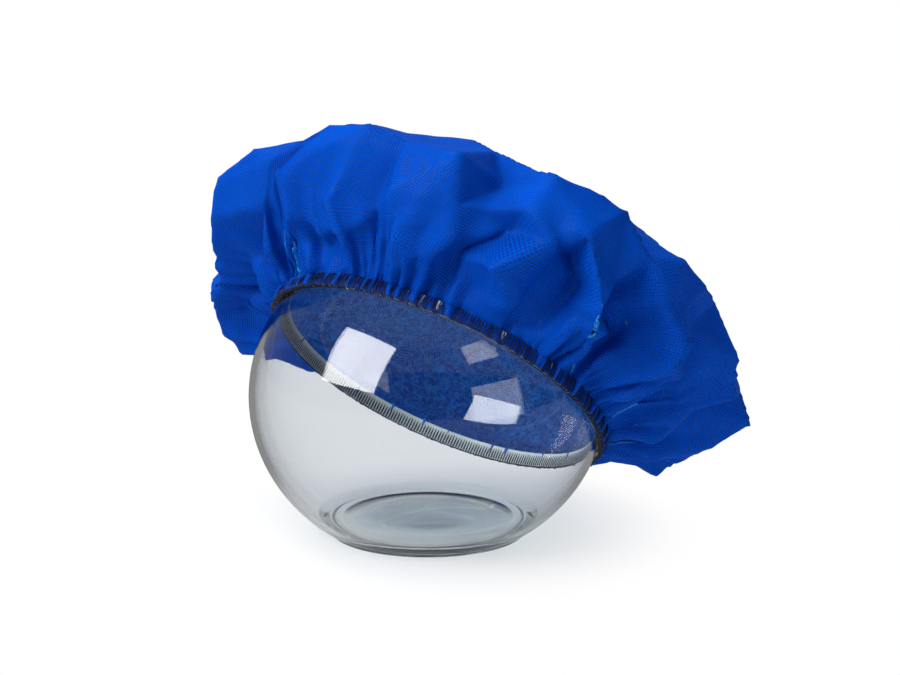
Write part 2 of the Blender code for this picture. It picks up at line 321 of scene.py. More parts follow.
def nonwoven_material(cloth, name, inside=False):
    """Spunbond polypropylene, bonded between hot rollers: dull fibres with small, glossy pressed pits.

    Its inner face is painted lighter and mottled, with a faint glow: painted light for the light that comes
    through the tangle of its fibres.
    """
    made, tree, output = new_material(name)
    uv = add(tree, "ShaderNodeUVMap", {"uv_map": "flat_cloth"})
    turned = add(tree, "ShaderNodeMapping", inputs={
        "Vector": uv.outputs["UV"], "Scale": (1 / cloth.emboss_pitch,) * 3,
        "Rotation": (0, 0, math.radians(28))})
    waves = waves_along(tree, turned.outputs["Vector"], (math.pi, math.pi))
    crossed = add(tree, "ShaderNodeMath", {"operation": "MULTIPLY"}, {0: waves[0], 1: waves[1]})
    pits = add(tree, "ShaderNodeMath", {"operation": "ABSOLUTE"}, {0: crossed.outputs[0]})
    pit = add(tree, "ShaderNodeMapRange", {"interpolation_type": "SMOOTHSTEP"},
              {"Value": pits.outputs[0], "From Min": 0.45, "From Max": 0.75}).outputs["Result"]
    place = add(tree, "ShaderNodeTexCoord").outputs["Object"]
    fibre = add(tree, "ShaderNodeTexNoise", inputs={"Vector": place, "Scale": 1.9 / MM, "Detail": 2.0})
    if inside:
        # Painted light: the inner face's tints are lighter and mottled, and they also colour its glow below
        dyes_and_glow_tints = ("#004C9C", "#3C9CEC")
        cloudy = add(tree, "ShaderNodeTexNoise", inputs={"Vector": place, "Scale": 0.33 / MM, "Detail": 4.0,
                                                         "Distortion": 1.2})
        shade = add(tree, "ShaderNodeMapRange", inputs={"Value": cloudy.outputs["Fac"], "From Min": 0.38,
                                                        "From Max": 0.62})
    else:
        dyes_and_glow_tints = ("#004AB6", "#0053C4")
        cloudy = add(tree, "ShaderNodeTexNoise", inputs={"Vector": place, "Scale": 0.034 / MM, "Detail": 3.0})
        shade = add(tree, "ShaderNodeMapRange", inputs={"Value": cloudy.outputs["Fac"], "From Min": 0.3,
                                                        "From Max": 0.7})
    face = add(tree, "ShaderNodeMix", {"data_type": "RGBA"}, {
        "Factor": shade.outputs["Result"], 6: linear(dyes_and_glow_tints[0]), 7: linear(dyes_and_glow_tints[1])}).outputs[2]
    colour = add(tree, "ShaderNodeMix", {"data_type": "RGBA"}, {"Factor": pit, 6: face,
                                                                7: linear("#002A84")}).outputs[2]
    roughness = add(tree, "ShaderNodeMapRange", inputs={"Value": pit, "To Min": 0.72, "To Max": 0.40})
    gloss = add(tree, "ShaderNodeMapRange", inputs={"Value": pit, "To Min": 0.01, "To Max": 0.16})
    nap = add(tree, "ShaderNodeMath", {"operation": "MULTIPLY"}, {0: fibre.outputs["Fac"], 1: 0.25})
    height = add(tree, "ShaderNodeMath", {"operation": "SUBTRACT"}, {0: nap.outputs[0], 1: pit})
    bump = add(tree, "ShaderNodeBump", inputs={"Strength": 0.55, "Distance": 0.16 * MM,
                                               "Height": height.outputs[0]})
    # The inner face glows a little, in place of light that comes through the real cloth
    dyed = add(tree, "ShaderNodeBsdfPrincipled", inputs={
        "Base Color": colour, "Roughness": roughness.outputs["Result"], "Normal": bump.outputs["Normal"],
        "Specular IOR Level": gloss.outputs["Result"], "Emission Color": face,
        "Emission Strength": 0.18 if inside else 0.0})
    # Held against the light, the pressed pits are the clearest, as their fibres have melted together
    lit = add(tree, "ShaderNodeMix", {"data_type": "RGBA"}, {"Factor": pit, 6: linear("#0C60D8"),
                                                             7: linear("#9AD6FF")})
    through = add(tree, "ShaderNodeBsdfTranslucent", inputs={"Color": lit.outputs[2],
                                                             "Normal": bump.outputs["Normal"]})
    mixed = add(tree, "ShaderNodeMixShader", inputs={0: 0.32, 1: dyed.outputs[0], 2: through.outputs[0]})
    tree.links.new(mixed.outputs[0], output.inputs["Surface"])
    return made


def elastic_material(hem):
    """Knitted elastic: white yarn over rubber, ribbed lengthwise every 0.9 mm, with a slight satin look."""
    made, tree, output = new_material("knitted_elastic")
    uv = add(tree, "ShaderNodeUVMap", {"uv_map": "along_band"})
    knots, ribs = waves_along(tree, uv.outputs["UV"], (math.tau / (1.1 * MM), math.tau / (0.9 * MM)))
    relief = add(tree, "ShaderNodeMath", {"operation": "MULTIPLY_ADD"}, {0: knots, 1: 0.5, 2: ribs})
    # The upper edge is bare, and the rest is greyed by the fine black needle thread
    across = add(tree, "ShaderNodeSeparateXYZ", inputs={"Vector": uv.outputs["UV"]}).outputs["Y"]
    bare = add(tree, "ShaderNodeMapRange", inputs={"Value": across, "From Min": 0.18 * hem.elastic_width,
                                                   "From Max": 0.28 * hem.elastic_width})
    mixed = add(tree, "ShaderNodeMix", {"data_type": "RGBA"}, {
        "Factor": bare.outputs["Result"], 6: linear("#E2E2E4"), 7: linear(hem.elastic_colour)})
    bump = add(tree, "ShaderNodeBump", inputs={"Strength": 0.6, "Distance": 0.15 * MM,
                                               "Height": relief.outputs[0]})
    yarn = add(tree, "ShaderNodeBsdfPrincipled", inputs={"Base Color": mixed.outputs[2], "Roughness": 0.6,
                                                         "Normal": bump.outputs["Normal"]})
    tree.links.new(yarn.outputs[0], output.inputs["Surface"])
    return made


def thread_material(hem):
    """Spun polyester overlock thread: near black, with a faint twist that catches the light."""
    made, tree, output = new_material("spun_polyester_thread")
    place = add(tree, "ShaderNodeTexCoord").outputs["Object"]
    fibres = add(tree, "ShaderNodeTexNoise", inputs={"Vector": place, "Scale": 1.4 / MM, "Detail": 2.0})
    fuzz = fibres.outputs["Fac"]
    colour = add(tree, "ShaderNodeMix", {"data_type": "RGBA"}, {
        "Factor": fuzz, 6: linear(hem.thread_colour), 7: linear("#14161E")})
    bump = add(tree, "ShaderNodeBump", inputs={"Strength": 0.5, "Distance": 0.1 * MM, "Height": fuzz})
    spun = add(tree, "ShaderNodeBsdfPrincipled", inputs={"Base Color": colour.outputs[2], "Roughness": 0.62,
                                                         "Normal": bump.outputs["Normal"]})
    tree.links.new(spun.outputs[0], output.inputs["Surface"])
    return made


def glass_material(stand):
    """Blown soda-lime glass: clear and polished, with a faint grey-blue tint. Shadow rays pass through it."""
    made, tree, output = new_material("clear_soda_glass")
    # Painted shade: the wall behind is made to mirror less than the one in front, standing in for the cap
    # keeping the lamps off it
    place = add(tree, "ShaderNodeTexCoord").outputs["Object"]
    depth = add(tree, "ShaderNodeSeparateXYZ", inputs={"Vector": place}).outputs["Y"]
    mirror_with_painted_dimming = add(tree, "ShaderNodeMapRange", inputs={"Value": depth, "From Min": -0.01, "From Max": 0.02,
                                                     "To Min": 0.3, "To Max": 0.03}).outputs["Result"]
    glass = add(tree, "ShaderNodeBsdfPrincipled", inputs={
        "Base Color": linear(stand.tint), "Roughness": 0.0, "IOR": 1.5, "Specular IOR Level": mirror_with_painted_dimming,
        "Transmission Weight": 1.0})
    clear = add(tree, "ShaderNodeBsdfTransparent", inputs={"Color": linear("#EDF2F1")})
    path = add(tree, "ShaderNodeLightPath")
    mixed = add(tree, "ShaderNodeMixShader", inputs={0: path.outputs["Is Shadow Ray"], 1: glass.outputs[0],
                                                     2: clear.outputs[0]})
    tree.links.new(mixed.outputs[0], output.inputs["Surface"])
    return made


def dim_in_reflections(tree):
    """1 to the eye and through the glass, and less where the glass mirrors it, as where walls are dark."""
    depth = add(tree, "ShaderNodeLightPath").outputs["Glossy Depth"]
    return add(tree, "ShaderNodeMapRange", inputs={"Value": depth, "From Max": 1.0, "To Min": 1.0,
                                                   "To Max": 0.28}).outputs["Result"]


def paper_material(name, colour):
    """Matt white paper that glows white away from the cap, as in a product studio; near the bowl the glow is
    painted light over the floor shadow.
    """
    made, tree, output = new_material(name)
    paper = add(tree, "ShaderNodeBsdfPrincipled", inputs={"Base Color": linear(colour), "Roughness": 0.9,
                                                          "Specular IOR Level": 0.1})
    place = add(tree, "ShaderNodeTexCoord").outputs["Object"]
    far = add(tree, "ShaderNodeVectorMath", {"operation": "LENGTH"}, {0: place}).outputs["Value"]
    # Painted light: the glow fades in from the bowl's axis out to 0.15 m, and lights over the bowl's and
    # cap's shadows on the floor
    share = add(tree, "ShaderNodeMapRange", {"interpolation_type": "SMOOTHSTEP"},
                {"Value": far, "From Min": 0.0, "From Max": 0.15})
    lit = add(tree, "ShaderNodeEmission", inputs={"Strength": dim_in_reflections(tree)})
    mixed = add(tree, "ShaderNodeMixShader", inputs={0: share.outputs["Result"], 1: paper.outputs[0],
                                                     2: lit.outputs[0]})
    tree.links.new(mixed.outputs[0], output.inputs["Surface"])
    return made


# Objects

def finish_piece(name, mesh_data, look, replaced):
    """Turns a bmesh into a named piece that rides on the cap and stands for a solid."""
    mesh = bpy.data.meshes.new(name)
    mesh_data.to_mesh(mesh)
    mesh_data.free()
    mesh.shade_smooth()
    piece = bpy.data.objects.new(name, mesh)
    bpy.context.scene.collection.objects.link(piece)
    piece.data.materials.append(look)
    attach(piece, "root")
    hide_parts(replaced)
    return piece


# The glass bowl

# The flat part of the bowl's floor, as a share of the hollow's radius there, the dome in its middle, and the
# rounding of the heel
FLOOR_FLAT = 0.58
FLOOR_DOME = 1.6 * MM
HEEL = 2.2 * MM


def bowl_shape(stand):
    """Lower and upper upright half axes of the bowl's outline."""
    def half(end_height, end_width):
        return abs(end_height - stand.belly_height) / math.sqrt(1 - (end_width / stand.width) ** 2)
    return half(0.0, stand.base_width), half(stand.height, stand.mouth_width)


def bowl_radius(stand, height, grow=0.0):
    """Radius of the glass at heights, with its wall moved outwards by grow."""
    lower, upper = bowl_shape(stand)
    rise = np.asarray(height) - stand.belly_height
    half = np.where(rise > 0, upper, lower) + grow
    return (stand.width / 2 + grow) * np.sqrt(np.clip(1 - (rise / half) ** 2, 0, None))


def bowl_section(stand):
    """Half section from the inner floor's middle up the inside, over the rounded lip and down to the base."""
    lip = stand.wall / 2
    lip_height = stand.height - lip
    # A shallow dome in the middle of the floor
    floor_edge = FLOOR_FLAT * float(bowl_radius(stand, stand.floor, -stand.wall))
    points = [(floor_edge * k / 8, stand.floor + FLOOR_DOME * math.cos(math.pi / 2 * k / 8))
              for k in range(8)]
    points += [(floor_edge, stand.floor)]
    up_the_wall = 44
    for i in range(1, up_the_wall + 1):
        z = stand.floor + (lip_height - stand.floor) * (1 - math.cos(math.pi * i / up_the_wall)) / 2
        points.append((float(bowl_radius(stand, z, -stand.wall)), z))
    inner, outer = points[-1][0], float(bowl_radius(stand, lip_height))
    for i in range(1, 8):
        turn = math.pi * i / 8
        middle, half = (inner + outer) / 2, (outer - inner) / 2
        points.append((middle - half * math.cos(turn), lip_height + lip * math.sin(turn)))
    for i in range(up_the_wall + 1):
        z = HEEL + (lip_height - HEEL) * (1 + math.cos(math.pi * i / up_the_wall)) / 2
        points.append((float(bowl_radius(stand, z)), z))
    start = points[-1][0]
    for i in range(1, 7):
        turn = math.pi / 2 * i / 6
        points.append((start - HEEL * 0.9 * math.sin(turn) - 0.6 * MM * i / 6, HEEL * math.cos(turn)))
    foot = points[-1][0]
    # The underside is dished, so that the bowl stands on a ring
    points += [(foot - 5 * MM, 0.0), (foot - 7 * MM, 0.35 * MM)]
    points += [(foot * 0.7, 0.9 * MM), (foot * 0.35, 1.3 * MM), (0.0, 1.4 * MM)]
    return points


class HAIRNET_OT_bowl(bpy.types.Operator):
    """Turns the clear glass bowl, with a thick floor and a rounded lip"""
    bl_idname = "hairnet.make_bowl"
    bl_label = "Glass bowl"

    def execute(self, context):
        stand = context.scene.glass_stand
        grid = bmesh.new()
        points = [grid.verts.new((x, 0, z)) for x, z in bowl_section(stand)]
        edges = [grid.edges.new(pair) for pair in zip(points, points[1:])]
        bmesh.ops.spin(grid, geom=points + edges, cent=(0, 0, 0), axis=(0, 0, 1), dvec=(0, 0, 0),
                       angle=math.tau, steps=160, use_merge=True, use_duplicate=False)
        bmesh.ops.remove_doubles(grid, verts=grid.verts, dist=0.01 * MM)
        bmesh.ops.recalc_face_normals(grid, faces=grid.faces)
        finish_piece("clear_bowl", grid, glass_material(stand), "glass_bowl")
        return {"FINISHED"}


# The cap's own frame: a point is an angle round its axis, a reach out from it and a rise along it

CAP_ROLL = math.radians(28.3)
CAP_TIP = math.radians(31.0)
BAND_RISE = 0.0127
CAP_TURN = Matrix.Rotation(CAP_ROLL, 3, "Y") @ Matrix.Rotation(-CAP_TIP, 3, "X")
CAP_UP = CAP_TURN @ Vector((0, 0, 1))


def cap_middle(stand):
    """Middle of the band, on the cap's axis."""
    return Vector((0, 0, stand.belly_height)) + BAND_RISE * CAP_UP


def cap_points(stand, angle, reach, rise):
    """World places of arrays of cap coordinates."""
    flat = np.stack([reach * np.sin(angle), -reach * np.cos(angle), rise + 0 * angle], axis=-1)
    return flat @ np.array(CAP_TURN).T + np.array(cap_middle(stand))


def seat_reach(stand, angle, rise, clearance):
    """Reach from the cap's axis to the bowl's outside plus a clearance, at arrays of angles and rises."""
    near = np.zeros_like(angle + rise)
    far = near + stand.width
    for _ in range(30):
        reach = (near + far) / 2
        place = cap_points(stand, angle + 0 * reach, reach, rise)
        inside = np.hypot(place[..., 0], place[..., 1]) < bowl_radius(stand, place[..., 2], clearance)
        near = np.where(inside, reach, near)
        far = np.where(inside, far, reach)
    return near


def crown_rise(stand, cloth):
    """Height of the crown's middle over the band, clear of the bowl's lip."""
    lean = math.hypot(CAP_UP.x, CAP_UP.y)
    lip = Vector((CAP_UP.x, CAP_UP.y, 0)) * (stand.mouth_width / 2 / lean) + Vector((0, 0, stand.height))
    return (lip - cap_middle(stand)).dot(CAP_UP) + cloth.room_over_bowl


def fold_lines(stand, cloth, hem, hem_clearance):
    """Stations of every fold's line from the hem to the middle: folds by stations by (angle, reach, rise)."""
    lines = []
    top = crown_rise(stand, cloth)
    half = hem.elastic_width / 2
    for fold in FOLDS:
        a_hem, a_belly, a_rim = (math.radians(a) for a in (fold.hem, fold.belly, fold.rim))
        low, high = (float(seat_reach(stand, np.array(a_hem), np.array(rise), hem_clearance))
                     for rise in (-half, half))
        rim_rise = fold.rim_up * cloth.rim_rise
        shoulder_out = 1 + FOLDS_LEFT_AT_SHOULDER * (fold.rim_out - 1)
        top_rise = top * (1 - TOP_SAG * (1 + math.cos(a_rim - SAG_SIDE)) / 2)
        lines.append((
            (a_hem, low, -half),
            (a_hem, high, half),
            (a_belly, high + fold.belly_out * cloth.puff_out, fold.belly_up * cloth.rim_rise),
            (a_rim, high + fold.rim_out * cloth.puff_out, rim_rise),
            (a_rim, SHOULDER_IN * (high + shoulder_out * cloth.puff_out),
             rim_rise + SHOULDER_UP * (top_rise - rim_rise)),
            (a_rim, TOP_IN * (high + cloth.puff_out), top_rise),
            (a_rim, 0.0, top),
        ))
    return np.array(lines)


def along_lines(lines, steps):
    """Soft curves through the stations: an array of folds by steps by (angle, reach, rise)."""
    last = lines.shape[1] - 1
    i = np.minimum(steps.astype(int), last - 1)
    t = (steps - i)[None, :, None]
    before, start = lines[:, np.maximum(i - 1, 0)], lines[:, i]
    end, after = lines[:, i + 1], lines[:, np.minimum(i + 2, last)]
    leave, arrive = ROUNDNESS * (end - before) / 2, ROUNDNESS * (after - start) / 2
    h00, h10 = 2 * t**3 - 3 * t**2 + 1, t**3 - 2 * t**2 + t
    h01, h11 = -2 * t**3 + 3 * t**2, t**3 - t**2
    return h00 * start + h10 * leave + h01 * end + h11 * arrive


def round_the_cap(curves, angles):
    """Cap coordinates at every ring and flat angle, between the folds beside it: rings by angles by 3."""
    at = np.radians([fold.rim for fold in FOLDS])
    at = np.append(at, at[0] + math.tau)
    wrapped = np.concatenate([curves, curves[:1] + np.array([math.tau, 0, 0])])
    turned = at[0] + (angles - at[0]) % math.tau
    i = np.clip(np.searchsorted(at, turned, side="right") - 1, 0, len(FOLDS) - 1)
    u = (turned - at[i]) / (at[i + 1] - at[i])
    start, end = wrapped[i], wrapped[i + 1]
    return (start + (end - start) * u[:, None, None]).swapaxes(0, 1)


def smooth_noise(angles, modes, seed):
    """A smooth random wave round the cap, between about -1 and 1."""
    rng = np.random.default_rng(seed)
    total = np.zeros_like(angles)
    for m in range(1, modes + 1):
        total += rng.normal() * np.cos(m * angles + rng.uniform(0, math.tau)) / math.sqrt(modes)
    return total


def ramp(along, start, end):
    """0 at start and 1 at end, whichever is the larger, with a straight slope between them."""
    return np.clip((along - start) / (end - start), 0, 1)


def within(along, zone):
    """A share that grows over a zone's first two distances and fades over its last two."""
    return ramp(along, zone[0], zone[1]) * ramp(along, zone[3], zone[2])


def gather_height(gathers, angles, along):
    """How far gathers lift the cloth off its smooth form, at distances along from the hem's edge."""
    lift = np.zeros((len(along), len(angles)))
    for g in gathers:
        window = (g.start + (1 - g.start) * ramp(along, 0, g.peak)) * ramp(along, g.end, g.peak)
        sway = g.sway * smooth_noise(angles, g.waves // 3, g.seed)
        drift = g.sway * smooth_noise(angles, g.waves // 4, g.seed + 1)
        # Some gathers are deeper than others
        depth = np.clip(0.8 + 0.5 * smooth_noise(angles, g.waves // 2, g.seed + 2), 0.2, 1.5)
        phase = (g.waves * angles / 2 + sway / 2)[None, :] + np.outer(along / g.end, drift)
        # A wave of straight sides, sharper in its valleys than on its ridges
        side = np.abs((phase / math.pi) % 1 - 0.5) * 2
        wave = 1 - 2 * side ** 1.25
        lift += g.amplitude * window[:, None] * depth * wave
    return lift


def normals_of(places):
    """Outward normals of a grid of rings by columns."""
    round_way = np.roll(places, -1, axis=1) - np.roll(places, 1, axis=1)
    normal = np.cross(round_way, np.gradient(places, axis=0))
    return normal / (np.linalg.norm(normal, axis=2, keepdims=True) + 1e-12)


def facet_corners():
    """Angle, distance from the hem's edge and lift of every corner, for three turns round the cap."""
    rng = np.random.default_rng(CRUMPLE_SEED)
    corners = []
    for row in CRUMPLES:
        if row.count:
            turns = [(k + rng.uniform(-STRAY_ROUND, STRAY_ROUND)) * math.tau / row.count
                     for k in range(row.count)]
            sides = rng.choice((-1, 1), row.count)
        else:
            turns = [math.radians(fold.rim) % math.tau for fold in FOLDS]
            sides = [1 if fold.belly_out > RIDGE_OUT else -1 for fold in FOLDS]
        for a, side in zip(turns, sides):
            s = row.distance + rng.uniform(-1, 1) * row.stray
            lift = row.height * rng.uniform(LEAST_HEIGHT, 1) * side
            turn = (math.degrees(a) + 180) % 360 - 180
            # Behind, corners on the folds make them shallower, and the others are only sunk
            if abs(turn) > BACK:
                lift = BACK_SUNK * min(lift, 0.0) if row.count else BACK_FOLD * lift
            in_front = FRONT_ANGLES[0] < turn < FRONT_ANGLES[1] and FRONT_ZONE[0] < s < FRONT_ZONE[1]
            if not (row.stray and in_front):
                corners.append((a, s, lift))
    for seen in FRONT_CORNERS:
        corners.append((math.radians(seen.angle) % math.tau, seen.distance * MM, RELIEF * seen.height * MM))
    return np.concatenate([np.array(corners) + (turn * math.tau, 0, 0) for turn in (-1, 0, 1)])


def faceted(places, even, angles, along):
    """Cloth drawn to flat facets between corners lifted or sunk from the even cloth, with sharp creases."""
    corners = facet_corners()
    # The net between the corners is laid flat, as if unrolled from a drum of about the cap's radius
    drum = 0.14
    flat = [Vector((a * drum, s)) for a, s, _ in corners]
    whole_plane, closest = 0, 1e-7
    spots, _, faces, sources, _, _ = delaunay_2d_cdt(flat, [], [], whole_plane, closest)
    outwards = normals_of(even)
    held = []
    for source in sources:
        a, s, lift = corners[source[0]]
        row = np.abs(along - s).argmin()
        column = round(a / math.tau * len(angles)) % len(angles)
        proud = PROUD * ramp(s, *PROUD_ZONE)
        held.append(even[row, column] + (lift + proud) * outwards[row, column])
    drawn = places.copy()
    for face in faces:
        (ax, ay), (bx, by), (cx, cy) = (spots[i] for i in face)
        columns = slice(*np.searchsorted(angles * drum, (min(ax, bx, cx), max(ax, bx, cx))))
        rows = slice(*np.searchsorted(along, (min(ay, by, cy), max(ay, by, cy))))
        x, y = angles[columns][None, :] * drum, along[rows][:, None]
        area = (by - cy) * (ax - cx) + (cx - bx) * (ay - cy)
        if abs(area) < 1e-9 or x.size == 0 or y.size == 0:
            continue
        u = ((by - cy) * (x - cx) + (cx - bx) * (y - cy)) / area
        v = ((cy - ay) * (x - cx) + (ax - cx) * (y - cy)) / area
        inside = (u >= -1e-6) & (v >= -1e-6) & (u + v <= 1 + 1e-6)
        level = sum(share[..., None] * held[corner] for share, corner in zip((u, v, 1 - u - v), face))
        drawn[rows, columns] = np.where(inside[..., None], level, drawn[rows, columns])
    return places + FACETED * within(along, FACET_ZONE)[:, None, None] * (drawn - places)


def crown_places(stand, cloth, hem, angles, along):
    """World places of the puffed cloth at every distance from the hem and every flat angle."""
    clearance = hem.seat_gap + hem.elastic_thickness + CLOTH_OFF_ELASTIC
    lines = fold_lines(stand, cloth, hem, clearance)
    steps = np.linspace(0, lines.shape[1] - 1, 600)
    fine = along_lines(lines, steps)
    lengths = np.linalg.norm(np.diff(fine[:, :, 1:], axis=1), axis=2).mean(axis=0)
    measured = np.concatenate([[0], np.cumsum(lengths)])
    half_disc = cloth.flat_width / 2
    ring_steps = np.interp(along, measured * half_disc / measured[-1], steps)
    shape = round_the_cap(along_lines(lines, ring_steps), angles)
    on_band = ring_steps <= 1
    shape[on_band, :, 1] = seat_reach(stand, shape[on_band, :, 0], shape[on_band, :, 2], clearance)
    places = cap_points(stand, shape[..., 0], shape[..., 1], shape[..., 2])
    return places + normals_of(places) * gather_height(BROAD_GATHERS, angles, along)[..., None]


def distances_along(cloth, rings):
    """Distances of the rings from the hem's edge, closer together near it, up to a pinhole in the middle."""
    share = np.linspace(0, 1, rings)
    return cloth.flat_width / 2 * (EVENNESS * share + (1 - EVENNESS) * share ** 2) * LAST_RING


def flat_disc(along, half, columns):
    """The round cloth as it is cut, flat, with its middle closed."""
    grid = bmesh.new()
    line = [grid.verts.new((0, s - half, 0)) for s in along]
    edges = [grid.edges.new(pair) for pair in zip(line, line[1:])]
    bmesh.ops.spin(grid, geom=line + edges, cent=(0, 0, 0), axis=(0, 0, 1), dvec=(0, 0, 0),
                   angle=math.tau, steps=columns, use_merge=True, use_duplicate=False)
    hole = [e for e in grid.edges if e.is_boundary and e.verts[0].co.length < 0.1 * half]
    bmesh.ops.holes_fill(grid, edges=hole, sides=0)
    return grid


def ring_and_column(grid, along, half, columns):
    """Which ring and column each vertex of the flat cloth lies on."""
    flat = np.array([v.co[:2] for v in grid.verts])
    inwards = half - np.hypot(*flat.T)
    ring = np.abs(inwards[:, None] - along[None, :]).argmin(axis=1)
    angle = np.arctan2(flat[:, 0], -flat[:, 1])
    return ring, np.round(angle / math.tau * columns).astype(int) % columns


def evened(places, times, step=1):
    """A grid of rings by columns, each place drawn times over towards its neighbours, step columns off."""
    for _ in range(times):
        places = (np.roll(places, step, axis=1) + 2 * places + np.roll(places, -step, axis=1)) / 4
        inner = (places[:-2] + 2 * places[1:-1] + places[2:]) / 4
        places = np.concatenate([places[:1], inner, places[-1:]])
    return places


def settled(places, along, half):
    """The coarse cloth after Blender's Cloth has let it buckle, as far from its start as MOST_SETTLED."""
    columns = places.shape[1]
    grid = flat_disc(along, half, columns)
    ring, column = ring_and_column(grid, along, half, columns)
    for v, r, c in zip(grid.verts, ring, column):
        v.co = places[r, c]
    mesh = bpy.data.meshes.new("settling")
    grid.to_mesh(mesh)
    grid.free()
    piece = bpy.data.objects.new("settling", mesh)
    scene = bpy.context.scene
    scene.collection.objects.link(piece)
    held = piece.vertex_groups.new(name="held")
    spare = piece.vertex_groups.new(name="spare")
    for index, r in enumerate(ring):
        held.add([index], 1.0 if along[r] < HELD_HEM else HOLD, "REPLACE")
        spare.add([index], 1 - ramp(along[r], *SPARE_ZONE), "REPLACE")
    cloth = piece.modifiers.new("settle", "CLOTH")
    how = cloth.settings
    how.quality = SETTLE_QUALITY
    how.mass = 0.05
    how.shrink_min = -SPARE_ON_TOP
    how.shrink_max = -SPARE_AT_HEM
    how.vertex_group_shrink = "spare"
    how.tension_stiffness = how.compression_stiffness = 20
    how.shear_stiffness = 8
    how.bending_model = "ANGULAR"
    how.bending_stiffness = 8
    how.tension_damping = how.compression_damping = how.shear_damping = 4
    how.bending_damping = 0.6
    how.air_damping = 2
    how.effector_weights.gravity = 0
    how.vertex_group_mass = "held"
    how.pin_stiffness = 1.0
    cloth.collision_settings.use_collision = False
    cloth.point_cache.frame_end = SETTLE_FRAMES
    for f in range(1, SETTLE_FRAMES + 1):
        scene.frame_set(f)
    seen = piece.evaluated_get(bpy.context.evaluated_depsgraph_get())
    found = np.empty(len(seen.data.vertices) * 3)
    seen.data.vertices.foreach_get("co", found)
    scene.frame_set(1)
    bpy.data.objects.remove(piece)
    moved = np.zeros_like(places)
    moved[ring, column] = found.reshape(-1, 3) - places[ring, column]
    # No ribs as narrow as the grid are left
    moved = evened(moved, times=1)
    length = np.linalg.norm(moved, axis=2, keepdims=True)
    return places + moved * np.tanh(length / MOST_SETTLED) / (length / MOST_SETTLED + 1e-9)


def between(places, rows, columns):
    """Smooth values of a grid of rings by columns at fractional rows, and at more columns."""
    def blend(values, at, around):
        i = np.floor(at).astype(int)
        t = (at - i).reshape(-1, 1, 1)
        count = len(values)
        pick = [(i + k) % count if around else np.clip(i + k, 0, count - 1) for k in (-1, 0, 1, 2)]
        a, b, c, d = (values[p] for p in pick)
        return b + t / 2 * (c - a + t * (2 * a - 5 * b + 4 * c - d + t * (3 * (b - c) + d - a)))
    across = blend(places.swapaxes(0, 1), np.arange(columns) * places.shape[1] / columns, True)
    return blend(across.swapaxes(0, 1), rows, False)


class HAIRNET_OT_crown(bpy.types.Operator):
    """Cuts the round nonwoven flat, gathers its edge to the band and puffs it out"""
    bl_idname = "hairnet.make_crown"
    bl_label = "Bouffant crown"

    def execute(self, context):
        scene = context.scene
        cloth, hem, stand = scene.hairnet_cloth, scene.hairnet_hem, scene.glass_stand
        half = cloth.flat_width / 2
        far = distances_along(cloth, COARSE_RINGS)
        coarse = crown_places(stand, cloth, hem, np.arange(COARSE_COLUMNS) * math.tau / COARSE_COLUMNS, far)
        coarse = settled(coarse, far, half)

        along = distances_along(cloth, cloth.rings)
        columns = 4 * cloth.columns
        rows = np.interp(along, far, np.arange(COARSE_RINGS))
        angles = np.arange(columns) * math.tau / columns
        places = between(coarse, rows, columns)
        places = faceted(places, between(evened(coarse, times=2), rows, columns), angles, along)
        crisp = CREASING * within(along, CREASE_ZONE)[:, None, None]
        places += crisp * (places - evened(places, times=6, step=4))
        places += normals_of(places) * gather_height(FINE_GATHERS, angles, along)[..., None]

        grid = flat_disc(along, half, cloth.columns)
        for reach in HALVED_WITHIN:
            ring_edges = [e for e in grid.edges if min(v.co.xy.length for v in e.verts) > half - reach
                          and abs(e.verts[0].co.xy.length - e.verts[1].co.xy.length) < 0.1 * MM]
            bmesh.ops.subdivide_edges(grid, edges=ring_edges, cuts=1, use_grid_fill=True)
        layer = grid.loops.layers.uv.new("flat_cloth")
        for face in grid.faces:
            for loop in face.loops:
                loop[layer].uv = loop.vert.co.xy
        ring, column = ring_and_column(grid, along, half, columns)
        for v, r, c in zip(grid.verts, ring, column):
            v.co = places[r, c]
        bmesh.ops.recalc_face_normals(grid, faces=grid.faces)
        outer_face = nonwoven_material(cloth, "embossed_nonwoven")
        crown = finish_piece("nonwoven_crown", grid, outer_face, "bouffant_crown")
        crown.data.materials.append(nonwoven_material(cloth, "nonwoven_inner_face", inside=True))
        thick = crown.modifiers.new("thickness", "SOLIDIFY")
        thick.thickness = cloth.thickness
        thick.offset = 0.0
        thick.material_offset = 1
        return {"FINISHED"}


# The overlocked elastic hem

def closed_tube(grid, path, radius, sides):
    """Adds a closed tube of round section along a loop of places to a bmesh."""
    count = len(path)
    ahead = np.roll(path, -1, axis=0) - np.roll(path, 1, axis=0)
    ahead /= np.linalg.norm(ahead, axis=1, keepdims=True)
    side = np.cross(ahead, np.array(CAP_UP))
    side /= np.linalg.norm(side, axis=1, keepdims=True) + 1e-9
    up = np.cross(side, ahead)
    rings = []
    for p, s, u in zip(path, side, up):
        rings.append([grid.verts.new(p + radius * (math.cos(a) * s + math.sin(a) * u))
                      for a in np.arange(sides) * math.tau / sides])
    for i in range(count):
        first, second = rings[i], rings[(i + 1) % count]
        for k in range(sides):
            n = (k + 1) % sides
            grid.faces.new((first[k], first[n], second[n], second[k]))


